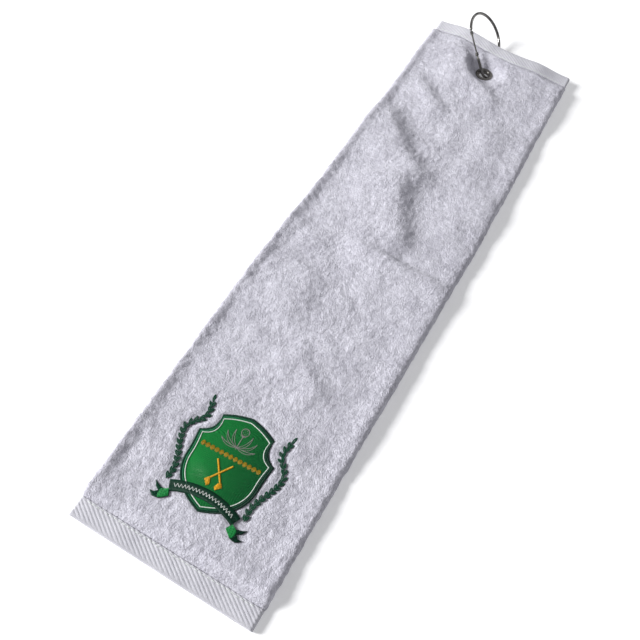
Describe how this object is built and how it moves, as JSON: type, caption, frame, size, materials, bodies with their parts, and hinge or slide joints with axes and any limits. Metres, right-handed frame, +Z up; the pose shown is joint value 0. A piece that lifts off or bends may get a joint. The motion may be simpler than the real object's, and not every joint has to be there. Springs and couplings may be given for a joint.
{
  "type": "golf towel",
  "caption": "White terry golf towel folded in three, with flat twill hems, an embroidered green crest, an eyelet near one end and a wire snap hook linked through it.",
  "frame": {"origin": "middle of the folded towel's underside, on the surface that it lies on", "axes": "+Y runs along the towel from the crest's end to the hook's end, +X is to the right seen from above with the hook away from the viewer, +Z is up from the face that the towel lies on"},
  "size_m": [0.143, 0.6221, 0.0364],
  "materials": {
    "terry": "sheared cotton terry, soft and matt",
    "hem": "flat twill weave with fine diagonal ribs",
    "thread_white": "polyester sewing thread, slight sheen",
    "thread_green": "rayon embroidery thread, silky fill stitches",
    "thread_dark_green": "rayon embroidery thread, silky satin stitches",
    "thread_silver": "rayon embroidery thread, silky",
    "thread_gold": "rayon embroidery thread, silky",
    "backing": "non-woven cut-away stabiliser",
    "eyelet_metal": "dark nickel plate, slightly worn",
    "hook_metal": "bright nickel plate"
  },
  "bodies": {
    "towel": {"terry_cloth": "terry", "top_hem": "hem", "bottom_hem": "hem", "back_flap_hem": "hem", "middle_flap_hem": "hem", "top_hem_stitching": "thread_white", "bottom_hem_stitching": "thread_white", "embroidery_backing": "backing", "shield_border": "thread_dark_green", "shield_field": "thread_green", "shield_line": "thread_white", "silver_ball_and_plumes": "thread_silver", "gold_bead_row": "thread_gold", "gold_crossed_clubs": "thread_gold", "ribbon_banner": "thread_dark_green", "ribbon_stitching": "thread_white", "ribbon_tail_left": "thread_dark_green", "ribbon_tail_right": "thread_dark_green", "laurel_left": "thread_dark_green", "laurel_right": "thread_dark_green", "eyelet": "eyelet_metal", "eyelet_washer": "eyelet_metal"},
    "hook": {"hook_wire": "hook_metal", "gate_rivet": "hook_metal"},
    "gate": {"gate": "hook_metal"}
  },
  "joints": [
    {"name": "hook_swing", "type": "hinge", "parent": "towel", "child": "hook", "pos_m": [-0.0034, 0.2543, 0.0058], "axis": [0, 0, 1], "range_deg": [-20, 12]},
    {"name": "gate_hinge", "type": "hinge", "parent": "hook", "child": "gate", "pos_m": [-0.01829, 0.26363, 0.01816], "axis": [0.654, 0.0428, 0.7553], "range_deg": [-28, 0], "stiffness_Nm_per_rad": 0.02, "springref_deg": 8.59}
  ]
}
